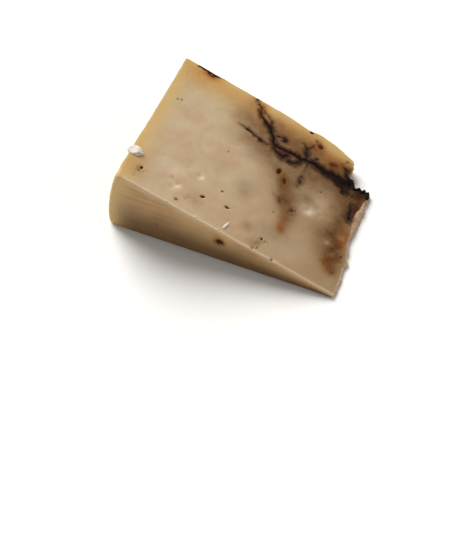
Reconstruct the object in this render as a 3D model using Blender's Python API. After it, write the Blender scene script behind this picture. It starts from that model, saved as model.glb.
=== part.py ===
"""A wedge of ripened sheep milk cheese that lies on one of its two cut faces.

It runs with blender --background --python part.py, or from Blender's text editor.
Metres, +Z up. X runs from the wheel's rim to the broken tip. Y runs from the plain
cut to the wheel's flat rind. The origin is the middle of the bounding box, at its base.
"""
import math

import bmesh
import bpy
from mathutils import Vector, noise

MM = 0.001

# Wheel that the wedge was cut from, and the wedge's own angle
WHEEL_RADIUS = 102.5 * MM
WHEEL_HEIGHT = 70.0 * MM
WEDGE_ANGLE = math.radians(19.0)

# The rim swells towards the plain cut, less at the base of the wedge than at its top
RIM_FLARE = 2.4 * MM
RIM_FLARE_POWER = 1.3
BASE_FLARE_SHARE = 0.35

# Broken tip: share of the wheel's height, gap left to the wheel's axis, and Y from the plain cut
BREAK_OUTLINE = (
    (0.00, 4.6, 0.0),
    (0.12, 4.3, 8.5),
    (0.20, 4.8, 13.5),
    (0.24, 4.0, 17.4),
    (0.28, 5.2, 19.6),
    (0.36, 6.4, 25.5),
    (0.47, 6.0, 33.5),
    (0.62, 5.7, 44.5),
    (0.70, 6.5, 50.5),
    (0.74, 8.2, 54.0),
    (0.76, 9.4, 55.4),
    (0.79, 11.2, 54.4),
    (0.82, 14.0, 55.6),
    (0.86, 17.4, 57.0),
    (0.89, 18.1, 59.4),
    (0.93, 17.2, 62.2),
    (1.00, 19.2, 66.4),
)
SMALLEST_GAP = 4.0 * MM
BREAK_BLEND_START = 0.55
BREAK_SLOPE = 1.8 * MM
BREAK_SLOPE_SPAN = (0.36, 0.76)
BREAK_ROUGHNESS = 0.55 * MM
CRAG_SIZE = 2.6 * MM
CRUMB_SIZE = 1.3 * MM
CRUMB_SHARE = 0.6
ROUGH_START = 0.94

# Softly rounded edges
EDGE_ROUND = 0.9 * MM
ROUND_SETBACK = 1.0 - math.sqrt(0.5)

# Mesh spacing: wide over the plain paste, close round the fissures and the break
COARSE_STEP = 3.6 * MM
FINE_STEP = 1.45 * MM
COARSE_ALONG = 34.0 * MM
COARSE_ACROSS = 33.0 * MM
UP_LAYERS = 5

# Fissures in the upper cut face: X and Y of each point, then half the width and the depth there
MAIN_FISSURE = (
    (-11.5, 35.0, 0.9, 0.9),
    (-6.5, 28.0, 0.8, 0.7),
    (-1.0, 24.0, 0.8, 0.7),
    (2.5, 18.5, 0.9, 0.8),
    (6.5, 17.0, 1.0, 0.8),
    (15.0, 18.0, 1.1, 1.0),
    (22.5, 18.5, 1.2, 1.1),
    (30.5, 18.0, 1.4, 1.2),
    (35.0, 16.5, 1.9, 1.5),
    (39.5, 19.0, 2.2, 1.9),
)
SECOND_FISSURE = (
    (-13.0, 18.0, 0.6, 0.3),
    (-6.0, 17.0, 0.8, 0.6),
    (0.5, 15.7, 0.8, 0.6),
    (3.0, 17.0, 0.8, 0.7),
)
UPPER_FISSURE = (
    (11.5, 24.5, 0.7, 0.4),
    (15.5, 25.0, 0.8, 0.6),
    (17.5, 20.0, 0.8, 0.6),
)
TIP_FISSURE = (
    (41.0, 9.0, 0.8, 0.5),
    (42.5, 2.5, 0.8, 0.5),
)
RIND_FISSURE = (
    (-37.5, 33.0, 0.7, 0.4),
    (-32.5, 33.2, 0.8, 0.7),
    (-28.5, 33.8, 0.7, 0.5),
)
FISSURES = (MAIN_FISSURE, SECOND_FISSURE, UPPER_FISSURE, TIP_FISSURE, RIND_FISSURE)

# Pits and dents in the upper cut face: X and Y of the middle, radius, depth
PITS = (
    (-38.0, -27.0, 1.5, 0.8),
    (-13.0, -23.5, 1.5, 0.7),
    (-2.8, -22.5, 1.6, 0.8),
    (9.5, 6.5, 1.5, 1.0),
    (13.0, 3.5, 1.5, 1.0),
    (14.5, -27.5, 1.6, 0.6),
    (20.5, -8.0, 1.6, 0.5),
    (42.0, 3.0, 1.8, 0.7),
)
DENTS = (
    (-17.5, -15.5, 3.4, 0.5),
    (-23.5, -25.5, 3.8, 0.6),
    (-22.0, -12.0, 4.5, 0.3),
    (2.5, -15.0, 6.0, 0.4),
    (26.0, -4.0, 4.5, 0.4),
    (31.0, -3.0, 4.0, 0.4),
    (38.0, -12.0, 5.5, 0.5),
)

# Unevenness of the knife's cuts, and the size of its swells
CUT_WAVE = 0.35 * MM
CUT_WAVE_SIZE = 17.0 * MM
RIND_WAVE = 0.25 * MM
RIND_WAVE_SIZE = 11.0 * MM
CUT_SEED, RIND_SEED, CRAG_SEED, CRUMB_SEED = 3.0, 23.0, 11.0, 17.0
DEEPEST_SHARE = 0.7

# Points lower than this belong to the flat base
FLAT_LIMIT = 0.001 * MM

PASTE_COLOUR = (0.58, 0.41, 0.25, 1.0)
PASTE_ROUGHNESS = 0.5

# Length without the flare, and where its middle lies from the wheel's axis and the plain cut
LENGTH = WHEEL_RADIUS - SMALLEST_GAP
CENTRE_X = -(WHEEL_RADIUS + SMALLEST_GAP) / 2.0
CENTRE_Y = WHEEL_HEIGHT / 2.0


def clear_scene():
    for thing in list(bpy.data.objects):
        bpy.data.objects.remove(thing, do_unlink=True)


def lerp(start, end, share):
    return start + (end - start) * share


def smoothstep(low, high, value):
    share = min(max((value - low) / (high - low), 0.0), 1.0)
    return share * share * (3.0 - 2.0 * share)


def ripple(point, size, seed):
    """Smooth noise from about -1 to 1 with swells of the given size."""
    return noise.noise(Vector(point) / size + Vector((seed, 0.0, 0.0)))


def stations(length, coarse_end, coarse_step, fine_step):
    """Shares of a length: one close to each end, wide steps first and close ones after."""
    marks = [0.0, EDGE_ROUND]
    coarse_count = round((coarse_end - EDGE_ROUND) / coarse_step)
    for index in range(coarse_count):
        marks.append(EDGE_ROUND + coarse_step * (index + 1))
    fine_start = marks[-1]
    fine_end = length - EDGE_ROUND
    fine_count = round((fine_end - fine_start) / fine_step)
    for index in range(fine_count):
        marks.append(lerp(fine_start, fine_end, (index + 1) / fine_count))
    marks.append(length)
    return [mark / length for mark in marks]


def break_edge(across):
    """Gap to the wheel's axis and Y of the broken edge, at a share of the wheel's height."""
    for before, after in zip(BREAK_OUTLINE, BREAK_OUTLINE[1:]):
        if across <= after[0]:
            share = (across - before[0]) / (after[0] - before[0])
            return lerp(before[1], after[1], share) * MM, lerp(before[2], after[2], share) * MM
    return BREAK_OUTLINE[-1][1] * MM, BREAK_OUTLINE[-1][2] * MM


def wedge_point(along, across, up):
    """A point of the wedge, by its shares from rim to break, plain cut to rind and base to top."""
    gap, edge_y = break_edge(across)
    low, high = BREAK_SLOPE_SPAN
    middle = (low + high) / 2.0
    slope = smoothstep(low, middle, across) * (1.0 - smoothstep(middle, high, across))
    gap += BREAK_SLOPE * slope * up
    y = lerp(across * WHEEL_HEIGHT, edge_y, smoothstep(BREAK_BLEND_START, 1.0, along))
    flare = RIM_FLARE * (1.0 - across) ** RIM_FLARE_POWER * lerp(BASE_FLARE_SHARE, 1.0, up)
    reach = lerp(WHEEL_RADIUS + flare, gap, along)
    angle = WEDGE_ANGLE * up
    return Vector((-reach * math.cos(angle) - CENTRE_X, y - CENTRE_Y, reach * math.sin(angle)))


def fissure_depth(x, y, fissure):
    """Depth of a V-shaped crack that follows its points, at a place on the cut face."""
    deepest = 0.0
    for start, end in zip(fissure, fissure[1:]):
        run_x, run_y = (end[0] - start[0]) * MM, (end[1] - start[1]) * MM
        off_x, off_y = x - start[0] * MM, y - start[1] * MM
        share = (off_x * run_x + off_y * run_y) / (run_x * run_x + run_y * run_y)
        share = min(max(share, 0.0), 1.0)
        distance = math.hypot(off_x - run_x * share, off_y - run_y * share)
        reach = lerp(start[2], end[2], share) * MM + FINE_STEP / 2.0
        depth = lerp(start[3], end[3], share) * MM
        deepest = max(deepest, depth * max(1.0 - distance / reach, 0.0))
    return deepest


def hollow_depth(x, y, hollow):
    """Depth of a round-bottomed pit or dent at a place on the cut face."""
    distance = math.hypot(x - hollow[0] * MM, y - hollow[1] * MM)
    share = max(1.0 - (distance / (hollow[2] * MM)) ** 2, 0.0)
    return hollow[3] * MM * share * share


def cut_relief(x, y):
    """How far the upper cut face lies below its plane."""
    depth = max(fissure_depth(x, y, fissure) for fissure in FISSURES)
    depth += sum(hollow_depth(x, y, hollow) for hollow in PITS + DENTS)
    swell = ripple((x, y, 0.0), CUT_WAVE_SIZE, CUT_SEED)
    return depth + CUT_WAVE * (0.5 + 0.5 * swell)


def inset_at_edges(shares, sizes):
    """Shares of a point on two or more outer faces, moved in so that the edge is rounded."""
    outer = [share in (0.0, 1.0) for share in shares]
    if sum(outer) < 2:
        return shares
    moved = []
    for share, on_face, size in zip(shares, outer, sizes):
        setback = min(EDGE_ROUND / size, 0.25) * ROUND_SETBACK
        if on_face:
            share = setback if share == 0.0 else 1.0 - setback
        moved.append(share)
    return moved


def box_of_cells(counts):
    """A closed box of two units a side, its faces cut into the given numbers of cells."""
    bm = bmesh.new()
    bmesh.ops.create_cube(bm, size=2.0)
    for axis, count in enumerate(counts):
        edges = [e for e in bm.edges if abs(e.verts[0].co[axis] - e.verts[1].co[axis]) > 1.0]
        bmesh.ops.subdivide_edges(bm, edges=edges, cuts=count - 1, use_grid_fill=True)
    return bm


def layer_share(layer, thickness):
    """Share of the thickness at a layer, with one layer close to each cut face."""
    near = min(EDGE_ROUND / thickness, 0.25)
    if layer in (0, UP_LAYERS):
        return layer / UP_LAYERS
    return lerp(near, 1.0 - near, (layer - 1) / (UP_LAYERS - 2))


def crumbled(place, along):
    """The point drawn back from the break by the crags and crumbs of its rough face."""
    crags = ripple(place, CRAG_SIZE, CRAG_SEED)
    crumbs = ripple(place, CRUMB_SIZE, CRUMB_SEED)
    rough = smoothstep(ROUGH_START, 1.0, along)
    place.x -= BREAK_ROUGHNESS * rough * (CRUMB_SHARE + crags + CRUMB_SHARE * crumbs)
    return place


def swollen_rim(place, up):
    """The point of the rim drawn in by the rind's low swells, none at its two cut edges."""
    swell = 0.5 + 0.5 * ripple(place, RIND_WAVE_SIZE, RIND_SEED)
    place.x += RIND_WAVE * swell * math.sin(math.pi * up)
    return place


def shape_wedge(bm, along_shares, across_shares):
    """Bend the box into the wedge, with its rough break, its fissures and its pits."""
    last_along = len(along_shares) - 1
    last_across = len(across_shares) - 1
    for vert in bm.verts:
        along = along_shares[round((vert.co.x + 1.0) / 2.0 * last_along)]
        across = across_shares[round((vert.co.y + 1.0) / 2.0 * last_across)]
        layer = round((vert.co.z + 1.0) / 2.0 * UP_LAYERS)
        thickness = lerp(WHEEL_RADIUS, break_edge(across)[0], along) * WEDGE_ANGLE
        up = layer_share(layer, thickness)
        shares = inset_at_edges((along, across, up), (LENGTH, WHEEL_HEIGHT, thickness))
        place = crumbled(wedge_point(*shares), along)
        if along == 0.0 and 0.0 < across < 1.0:
            place = swollen_rim(place, up)
        depth = min(cut_relief(place.x, place.y), DEEPEST_SHARE * thickness)
        place.z -= depth * up / math.cos(WEDGE_ANGLE)
        vert.co = place


def centre_on_base(bm):
    """Put the middle of the base of the bounding box at the origin."""
    lows = [min(vert.co[axis] for vert in bm.verts) for axis in range(3)]
    highs = [max(vert.co[axis] for vert in bm.verts) for axis in range(3)]
    middle = Vector(((lows[0] + highs[0]) / 2.0, (lows[1] + highs[1]) / 2.0, lows[2]))
    bmesh.ops.translate(bm, verts=bm.verts, vec=-middle)


def plain_base(bm):
    """Join the small faces of the flat base into one."""
    base = [face for face in bm.faces if all(vert.co.z < FLAT_LIMIT for vert in face.verts)]
    bmesh.ops.dissolve_faces(bm, faces=base, use_verts=True)


def cheese_material():
    material = bpy.data.materials.new("cheese_paste")
    material.use_nodes = True
    shader = material.node_tree.nodes["Principled BSDF"]
    shader.inputs["Base Color"].default_value = PASTE_COLOUR
    shader.inputs["Roughness"].default_value = PASTE_ROUGHNESS
    shader.inputs["Metallic"].default_value = 0.0
    material.diffuse_color = PASTE_COLOUR
    return material


def make_cheese_wedge():
    along_shares = stations(LENGTH, COARSE_ALONG, COARSE_STEP, FINE_STEP)
    across_shares = stations(WHEEL_HEIGHT, COARSE_ACROSS, COARSE_STEP, FINE_STEP)
    bm = box_of_cells((len(along_shares) - 1, len(across_shares) - 1, UP_LAYERS))
    shape_wedge(bm, along_shares, across_shares)
    centre_on_base(bm)
    plain_base(bm)
    bmesh.ops.recalc_face_normals(bm, faces=bm.faces)
    mesh = bpy.data.meshes.new("cheese_wedge")
    bm.to_mesh(mesh)
    bm.free()
    mesh.materials.append(cheese_material())
    mesh.shade_smooth()
    mesh.set_sharp_from_angle(angle=math.radians(35.0))
    wedge = bpy.data.objects.new("cheese_wedge", mesh)
    bpy.context.scene.collection.objects.link(wedge)
    return wedge


clear_scene()
make_cheese_wedge()
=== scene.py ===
"""Looks of a cut wedge of mould-veined sheep milk cheese, in metres, +Z up.

The fine mesh follows the same wheel, wedge and break as the solid that it replaces. X runs from
the rim to the broken tip, Y from the plain cut to the wheel's flat rind.
"""
import math
import random

import bmesh
import bpy
import numpy as np
from mathutils import Matrix, Vector, noise


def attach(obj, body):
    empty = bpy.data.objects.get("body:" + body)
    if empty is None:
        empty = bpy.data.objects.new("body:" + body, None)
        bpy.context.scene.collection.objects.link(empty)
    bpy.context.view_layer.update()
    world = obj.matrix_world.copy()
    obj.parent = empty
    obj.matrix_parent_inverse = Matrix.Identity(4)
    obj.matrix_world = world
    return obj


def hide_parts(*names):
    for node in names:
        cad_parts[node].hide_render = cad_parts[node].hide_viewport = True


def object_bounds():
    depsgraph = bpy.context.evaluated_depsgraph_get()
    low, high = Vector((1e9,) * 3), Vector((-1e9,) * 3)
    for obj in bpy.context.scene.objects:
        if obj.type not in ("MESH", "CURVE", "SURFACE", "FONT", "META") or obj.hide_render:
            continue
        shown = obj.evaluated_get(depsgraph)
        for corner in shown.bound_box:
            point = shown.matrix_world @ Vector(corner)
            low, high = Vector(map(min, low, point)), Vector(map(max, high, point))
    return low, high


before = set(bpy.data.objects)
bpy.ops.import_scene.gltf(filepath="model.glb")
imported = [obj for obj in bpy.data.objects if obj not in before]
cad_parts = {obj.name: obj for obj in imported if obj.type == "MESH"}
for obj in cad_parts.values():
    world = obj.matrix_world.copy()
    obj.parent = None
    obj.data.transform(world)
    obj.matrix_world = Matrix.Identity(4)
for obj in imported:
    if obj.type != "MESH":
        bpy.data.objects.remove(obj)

MM = 0.001
NODE = "cheese_wedge"
CAD_LOW, CAD_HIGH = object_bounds()

# Wheel and wedge, in millimetres, as the solid has them. The rim flares out towards the plain cut.
WHEEL_RADIUS = 102.5
WHEEL_HEIGHT = 70.0
WEDGE_ANGLE = math.radians(19.0)
RIM_FLARE = 2.4
RIM_FLARE_POWER = 1.3
BASE_FLARE_SHARE = 0.35

# Break as the solid has it: share of the wheel's height, gap to the wheel's axis, and height
BREAK_OUTLINE = (
    (0.00, 4.6, 0.0),
    (0.12, 4.3, 8.5),
    (0.20, 4.8, 13.5),
    (0.24, 4.0, 17.4),
    (0.28, 5.2, 19.6),
    (0.36, 6.4, 25.5),
    (0.47, 6.0, 33.5),
    (0.62, 5.7, 44.5),
    (0.70, 6.5, 50.5),
    (0.74, 8.2, 54.0),
    (0.76, 9.4, 55.4),
    (0.79, 11.2, 54.4),
    (0.82, 14.0, 55.6),
    (0.86, 17.4, 57.0),
    (0.89, 18.1, 59.4),
    (0.93, 17.2, 62.2),
    (1.00, 19.2, 66.4),
)
BREAK_BLEND_START = 0.55
BREAK_SLOPE = 1.8
BREAK_SLOPE_SPAN = (0.36, 0.76)

# Middle of the wedge from the wheel's axis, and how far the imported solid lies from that
WEDGE_MIDDLE = 53.25
BASE_RIM_REACH = WHEEL_RADIUS + RIM_FLARE * BASE_FLARE_SHARE
SHIFT_X = CAD_LOW.x / MM + BASE_RIM_REACH - WEDGE_MIDDLE

# Mesh spacing in millimetres: wide steps over the plain paste, close ones round the veins, and
# closer ones at the edges, where a layer takes at most a small share of the thickness
ALONG_COARSE, ALONG_FINE, ALONG_CHANGE = 0.62, 0.38, 34.0
ACROSS_COARSE, ACROSS_FINE, ACROSS_CHANGE = 0.56, 0.36, 38.0
UP_LAYERS = 18
EDGE_STEPS = (0.0, 0.12, 0.3, 0.6)
LAYER_SHARE = 0.06
TINY = 1e-9

# Radius of the edges, and of the upright edge between rim and plain cut with how far it reaches.
# A radius takes at most a share of the thickness.
EDGE_ROUND = 0.55
CORNER_ROUND = 1.9
CORNER_SPAN = 6.0
ROUND_SHARE = 0.3

# How far below a face its relief reaches, and the share of the thickness it may take
SURFACE_REACH = 3.0
DEEPEST_SHARE = 0.62

# Veins in the upper cut face: X and Y of each point, half the width, depth of the crack
MAIN_VEIN = (
    (-11.7, 35.0, 0.26, 0.5),
    (-8.0, 31.2, 0.30, 0.4),
    (-6.0, 27.4, 0.38, 0.6),
    (-3.5, 25.4, 0.44, 0.7),
    (-1.0, 24.2, 0.52, 0.8),
    (1.4, 20.7, 0.48, 0.8),
    (2.8, 18.0, 0.50, 0.9),
    (5.5, 17.0, 0.54, 0.9),
    (8.8, 17.5, 0.42, 0.7),
    (12.0, 18.3, 0.44, 0.8),
    (15.1, 17.6, 0.54, 0.9),
    (18.2, 18.7, 0.52, 0.7),
    (21.9, 18.6, 0.90, 1.1),
    (26.1, 17.8, 1.15, 1.1),
    (30.7, 18.3, 1.50, 1.2),
    (33.2, 17.2, 1.60, 1.4),
    (35.2, 16.0, 1.90, 1.5),
    (36.2, 14.8, 1.50, 1.0),
)
CRAG_VEIN = (
    (33.8, 17.6, 1.40, 1.2),
    (37.2, 18.8, 1.60, 1.6),
    (40.4, 19.2, 1.40, 1.4),
    (44.2, 18.6, 1.00, 1.0),
)
SIDE_STRAND = (
    (-7.4, 31.2, 0.30, 0.3),
    (-5.1, 29.6, 0.30, 0.3),
    (-1.9, 27.4, 0.35, 0.3),
    (-0.5, 24.9, 0.35, 0.3),
)
SECOND_VEIN = (
    (-12.9, 18.1, 0.22, 0.2),
    (-9.3, 17.7, 0.28, 0.4),
    (-5.5, 16.8, 0.34, 0.6),
    (-2.9, 16.0, 0.42, 0.6),
    (0.7, 15.7, 0.26, 0.4),
    (2.6, 16.6, 0.28, 0.4),
)
LOWER_LOOP = (
    (3.6, 16.4, 0.45, 0.3),
    (5.4, 14.8, 0.50, 0.4),
    (8.2, 14.0, 0.80, 0.5),
    (9.8, 15.9, 0.55, 0.4),
)
LOWER_STRAND = (
    (10.9, 13.4, 0.55, 0.4),
    (13.4, 14.0, 0.50, 0.4),
    (15.6, 16.8, 0.50, 0.5),
)
CURL = (
    (2.0, 21.5, 0.30, 0.3),
    (4.0, 22.5, 0.32, 0.4),
    (5.5, 23.1, 0.42, 0.5),
    (6.7, 22.5, 0.48, 0.4),
    (6.5, 21.4, 0.46, 0.3),
    (5.5, 21.3, 0.36, 0.3),
)
UPPER_BRANCH = (
    (11.6, 24.8, 0.18, 0.2),
    (14.4, 25.6, 0.28, 0.3),
    (15.6, 24.2, 0.50, 0.4),
    (16.4, 21.6, 0.80, 0.5),
    (17.6, 19.0, 0.85, 0.6),
)
UPPER_TWIG = (
    (16.0, 23.4, 0.34, 0.3),
    (17.4, 26.0, 0.38, 0.3),
    (17.6, 28.2, 0.22, 0.2),
)
DOWN_BRANCH = (
    (18.4, 17.0, 0.34, 0.3),
    (18.3, 11.5, 0.24, 0.1),
    (18.8, 8.0, 0.48, 0.3),
    (18.4, 4.8, 0.40, 0.3),
)
TIP_STREAK = (
    (40.9, 9.4, 0.28, 0.3),
    (41.9, 5.4, 0.36, 0.5),
    (42.6, 2.6, 0.66, 0.7),
)
NOTCH_LINE = (
    (31.8, 25.8, 0.22, 0.2),
    (33.6, 24.4, 0.36, 0.3),
    (34.6, 22.6, 0.46, 0.3),
    (35.4, 20.8, 0.60, 0.4),
    (36.4, 19.0, 0.70, 0.5),
)
RIND_CRACK = (
    (-37.4, 34.1, 0.24, 0.1),
    (-34.8, 34.3, 0.46, 0.2),
    (-32.2, 34.2, 0.44, 0.3),
    (-29.6, 34.4, 0.72, 0.4),
    (-26.6, 34.8, 0.40, 0.1),
)
RIND_CRACK_FRAY = (
    (-33.8, 33.9, 0.28, 0.1),
    (-32.2, 32.8, 0.26, 0.2),
    (-30.6, 32.6, 0.30, 0.2),
    (-29.6, 33.8, 0.34, 0.2),
)
# Each vein with how dark it is, and how much stain lies round it
VEINS = (
    (MAIN_VEIN, 1.0, 1.0),
    (CRAG_VEIN, 1.0, 1.0),
    (SIDE_STRAND, 0.65, 0.7),
    (SECOND_VEIN, 0.85, 0.8),
    (LOWER_LOOP, 0.68, 0.9),
    (LOWER_STRAND, 0.58, 0.9),
    (CURL, 0.66, 0.6),
    (UPPER_BRANCH, 0.52, 0.7),
    (UPPER_TWIG, 0.50, 0.6),
    (DOWN_BRANCH, 0.45, 0.6),
    (TIP_STREAK, 0.9, 0.9),
    (NOTCH_LINE, 0.8, 0.9),
    (RIND_CRACK, 1.0, 0.3),
    (RIND_CRACK_FRAY, 0.7, 0.4),
)

# Half widths at which a vein is faintest and fully black, and how black it is when faintest
VEIN_BLACK_WIDTHS = (0.1, 0.55)
THIN_VEIN_BLACK = 0.35

# Cracks: share of the depth given above, share that shows in the rind, shoulder beside the vein
CRACK_SHARE = 0.6
RIND_CRACK_SHARE = 0.6
CRACK_SHOULDER = 0.25

# How far the black spreads, in half widths, and the reach of the stain round a vein
INK_SPREAD = 1.3
HALO_BASE, HALO_GROWTH, HALO_WIDEST = 1.2, 2.1, 0.9

# Mouth of the vein at the notch: X and Y, reach and how black
NOTCH_MOUTH = (37.0, 18.4, 2.6, 0.9)

# Black crag between the notch and the tip: X and Y of each point, and how far it is eaten
CRAG = (
    (36.8, 21.4, 0.8),
    (38.6, 20.8, 1.6),
    (41.5, 20.0, 2.0),
    (44.8, 20.0, 2.1),
    (45.7, 17.6, 1.2),
)
CRAG_HALO_REACH = 1.0

# The far edge stands out here: where along X it starts, is full, falls off and ends, and how far
EDGE_BULGE = (12.5, 19.5, 25.0, 35.5, 1.9)

# Bites out of the broken edge: Y, reach along Y and depth
BREAK_BITES = (
    (23.4, 1.8, 1.3),
    (18.8, 1.9, -1.3),
    (14.0, 1.2, 0.5),
    (-6.6, 3.0, 1.3),
    (-14.0, 1.4, 0.5),
    (-20.5, 1.0, 0.5),
)

# Teeth of the crag: depth and size of the noise that cuts them, how far they stand out between
# the cuts, and how far from the crag's line they reach
TOOTH_DEPTH = 5.0
TOOTH_SIZE = (2.3, 30.0, 6.0)
TOOTH_SEED = 24
TOOTH_RISE = 0.9
TOOTH_REACH = 2.6

# Smooth noises of the relief: height in millimetres, size of a swell all ways or each way, seed.
# VEIN_UNEVEN is in shares of a vein's width, and TORN_LUMPS in shares of a patch's height. A sink
# is how far in a face lies on the whole, which keeps most of its swells inside the solid.
VEIN_SWAY_X = ((0.45, 2.2, 1), (0.22, 0.9, 2))
VEIN_SWAY_Y = ((0.45, 2.2, 3), (0.22, 0.9, 4))
VEIN_UNEVEN = ((0.5, 1.7, 5),)
PIT_SWAY_X = ((0.30, 0.9, 25),)
PIT_SWAY_Y = ((0.30, 0.9, 26),)
TOP_SINK = 0.175
TOP_SWELLS = ((0.175, 17.0, 6), (0.10, 6.0, 7), (0.03, 2.4, 10), (0.015, 1.0, 11))
TORN_LUMPS = ((0.6, 1.5, 8), (0.5, 0.8, 9))
CRAG_SINK = 0.35
CRAG_LUMPS = ((0.7, 1.1, 13),)
CRAG_CRUMBLE = ((0.30, 0.7, 22),)
CRAG_FRAY = ((0.5, 0.9, 23),)
PLAIN_CUT_SINK = 0.115
PLAIN_CUT_SWELLS = (
    (0.09, 11.0, 16),
    (0.025, (24.0, 24.0, 0.9), 14),
    (0.015, (15.0, 15.0, 0.4), 15),
)
RIND_SINK = 0.10
RIND_SWELLS = ((0.10, 12.0, 19),)
WRINKLE_SINK = 0.12
RIND_WRINKLES = ((0.12, 3.4, 17), (0.084, 1.3, 18))
BREAK_SINK = 0.33
BREAK_CRUMBLE = ((0.30, 3.2, 20), (0.24, 1.5, 21), (0.15, 0.7, 22))

# How far each further seed moves a noise along X, Y and Z, in swells
SEED_STEPS = (7.31, 3.17, 5.73)

# How near the break a point has to be for its relief to start and to be full
BREAK_SOFTENING = (-0.2, 0.6)

# Burr that the knife leaves along the plain cut: height, width, lumps, and the reach of its pale
# colour, which is partly a painted highlight along the edge
BURR_HEIGHT = 0.132
BURR_WIDTH = 0.35
BURR_LUMPS = ((0.132, 3.0, 12),)
BURR_HIGHLIGHT_REACH = 0.9

# Torn paste by the break: width in millimetres, and where it starts and is full in shares of that
FRACTURE_WIDTH = 0.9
FRACTURE_FADE = (1.5, 0.3)

# Pale torn strip that runs up from the break on to the cut face: Y, reach along Y, more width
FRACTURE_STRIP = (4.0, 7.5, 1.9)

# Wall of the notch, kept darker than the rest of the break as painted shade: Y, reach along Y, how
# dark
NOTCH_WALL_SHADE = (24.5, 3.0, 0.8)

# Yellow of the paste by the rim and the rind: its reach, and the X where the rind's starts to
# widen and is widest
YELLOW_REACH = (6.0, 10.5)
YELLOW_WIDENS = (4.0, -14.0)

# Where a colour starts and is full, in millimetres below the face or from the break
MOULD_RUN = (5.0, 0.5)
PIT_SKIN = (1.0, 0.4)
RIM_SKIN = (0.55, 0.05)
RIND_SKIN = (0.45, 0.05)
PLAIN_CUT_SKIN = (0.5, 0.1)
# The darkening towards the tip is partly age and partly painted shade
TIP_AGED_AND_SHADED = (75.0, 0.0)

# The same for the holes of the plain cut, by how near that face is
HOLE_SKIN = (0.6, 1.0)

# Smoke-brown shade of the mould round the veins: X and Y, reach along X and along Y, strength
SHADES = (
    (-10.0, 31.0, 3.4, 4.6, 0.34),
    (-10.5, 23.0, 7.0, 5.5, 0.50),
    (-3.5, 21.0, 6.0, 6.0, 0.56),
    (-6.5, 13.0, 7.0, 4.2, 0.44),
    (3.0, 13.5, 6.0, 5.5, 0.66),
    (5.5, 23.0, 7.0, 5.2, 0.62),
    (1.0, 27.2, 3.4, 2.8, 0.34),
    (13.0, 22.5, 5.0, 5.5, 0.56),
    (17.0, 23.5, 4.2, 5.6, 0.66),
    (21.5, 25.5, 2.6, 2.6, 0.34),
    (28.0, 20.5, 8.0, 4.2, 0.68),
    (33.0, 25.0, 3.0, 3.0, 0.52),
    (29.0, 24.0, 8.0, 4.5, 0.34),
    (19.0, 13.0, 8.0, 4.8, 0.70),
    (29.5, 13.8, 7.0, 4.4, 0.64),
    (36.5, 12.5, 4.6, 5.0, 0.60),
    (2.5, 8.5, 6.0, 4.0, 0.24),
    (8.0, 6.0, 4.0, 5.0, 0.40),
    (35.0, 22.5, 2.2, 3.4, 0.50),
    (36.5, 3.5, 4.0, 4.0, 0.24),
    (24.5, 7.5, 6.0, 4.0, 0.24),
    (14.5, 4.0, 5.0, 7.5, 0.66),
    (16.5, -5.0, 4.6, 6.4, 0.62),
    (20.0, -11.5, 3.2, 6.6, 0.56),
    (24.0, 0.5, 3.6, 4.0, 0.42),
    (40.5, 8.5, 4.6, 6.5, 0.74),
    (39.5, -2.0, 4.2, 7.0, 0.66),
    (36.5, -9.0, 3.4, 4.0, 0.44),
    (41.0, -15.5, 3.8, 8.5, 0.74),
    (43.5, -22.0, 3.0, 4.5, 0.40),
    (36.0, -16.0, 3.0, 6.0, 0.26),
    (0.5, -9.0, 4.0, 4.0, 0.26),
    (31.5, -10.0, 4.0, 6.0, 0.20),
    (18.0, -22.5, 5.5, 4.5, 0.28),
    (24.5, -22.0, 4.0, 4.0, 0.18),
    (8.0, -26.0, 2.6, 2.6, 0.26),
    (12.0, -31.0, 3.0, 2.6, 0.24),
    (-14.0, -27.0, 4.0, 3.4, 0.24),
    (-38.6, -29.0, 3.0, 3.0, 0.14),
)

# Ochre of the paste near the rim and the rind: X and Y, reach along X and along Y, strength
OCHRES = (
    (-40.5, -25.0, 5.0, 6.5, 0.70),
    (-37.0, 32.5, 9.0, 4.0, 0.40),
    (-20.0, 31.0, 12.0, 5.0, 0.20),
    (4.0, 28.0, 8.0, 5.0, 0.55),
    (13.0, 32.0, 6.0, 3.5, 0.45),
    (16.0, 27.0, 8.0, 5.0, 0.60),
    (27.0, 26.0, 8.0, 5.0, 0.75),
    (34.0, 25.0, 5.0, 4.0, 0.60),
    (43.6, -9.0, 2.8, 6.0, 0.55),
    (41.0, -21.5, 2.8, 3.6, 0.50),
)

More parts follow.
